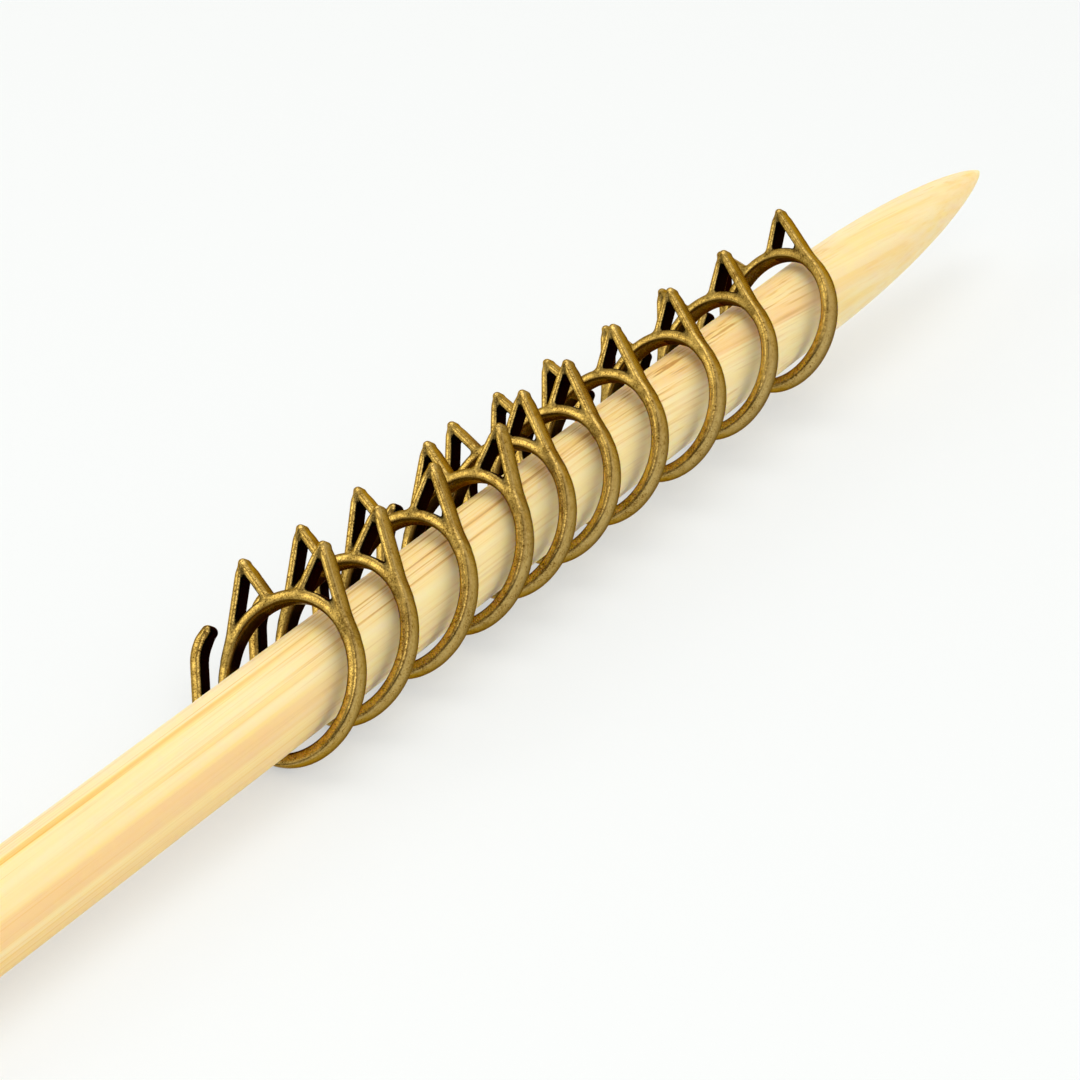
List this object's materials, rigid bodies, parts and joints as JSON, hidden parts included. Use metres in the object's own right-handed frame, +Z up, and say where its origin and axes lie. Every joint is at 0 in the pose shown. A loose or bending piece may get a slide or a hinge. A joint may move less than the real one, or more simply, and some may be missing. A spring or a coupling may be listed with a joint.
{
  "type": "stitch markers on a knitting needle",
  "caption": "Cat-shaped metal ring stitch markers threaded loosely on a thick bamboo knitting needle, each sliding along it and off its point.",
  "frame": {"origin": "on the surface that the markers stand on, under the middle of the whole", "axes": "+Z up, +X along the needle towards its point, which rises by 1.2 degrees"},
  "size_m": [0.25, 0.0218, 0.021],
  "materials": {
    "bamboo": "satin lacquered",
    "bronze": "antiqued, dark in the recesses"
  },
  "bodies": {
    "needle": {"needle": "bamboo"},
    "marker_01": {"marker_01": "bronze"},
    "marker_02": {"marker_02": "bronze"},
    "marker_03": {"marker_03": "bronze"},
    "marker_04": {"marker_04": "bronze"},
    "marker_05": {"marker_05": "bronze"},
    "marker_06": {"marker_06": "bronze"},
    "marker_07": {"marker_07": "bronze"},
    "marker_08": {"marker_08": "bronze"},
    "marker_09": {"marker_09": "bronze"},
    "marker_10": {"marker_10": "bronze"}
  },
  "joints": [
    {"name": "marker_01_slide", "type": "slide", "parent": "needle", "child": "marker_01", "axis": [0.9998, 0, 0.0209], "range_m": [-0.075, 0.0034]},
    {"name": "marker_02_slide", "type": "slide", "parent": "needle", "child": "marker_02", "axis": [0.9998, 0, 0.0209], "range_m": [-0.0034, 0.004]},
    {"name": "marker_03_slide", "type": "slide", "parent": "needle", "child": "marker_03", "axis": [0.9998, 0, 0.0209], "range_m": [-0.004, 0.0042]},
    {"name": "marker_04_slide", "type": "slide", "parent": "needle", "child": "marker_04", "axis": [0.9998, 0, 0.0209], "range_m": [-0.0042, 0.0022]},
    {"name": "marker_05_slide", "type": "slide", "parent": "needle", "child": "marker_05", "axis": [0.9998, 0, 0.0209], "range_m": [-0.0022, 0.0033]},
    {"name": "marker_06_slide", "type": "slide", "parent": "needle", "child": "marker_06", "axis": [0.9998, 0, 0.0209], "range_m": [-0.0033, 0.0036]},
    {"name": "marker_07_slide", "type": "slide", "parent": "needle", "child": "marker_07", "axis": [0.9998, 0, 0.0209], "range_m": [-0.0036, 0.0049]},
    {"name": "marker_08_slide", "type": "slide", "parent": "needle", "child": "marker_08", "axis": [0.9998, 0, 0.0209], "range_m": [-0.0049, 0.0048]},
    {"name": "marker_09_slide", "type": "slide", "parent": "needle", "child": "marker_09", "axis": [0.9998, 0, 0.0209], "range_m": [-0.0048, 0.0058]},
    {"name": "marker_10_slide", "type": "slide", "parent": "needle", "child": "marker_10", "axis": [0.9998, 0, 0.0209], "range_m": [-0.0058, 0.064]}
  ]
}
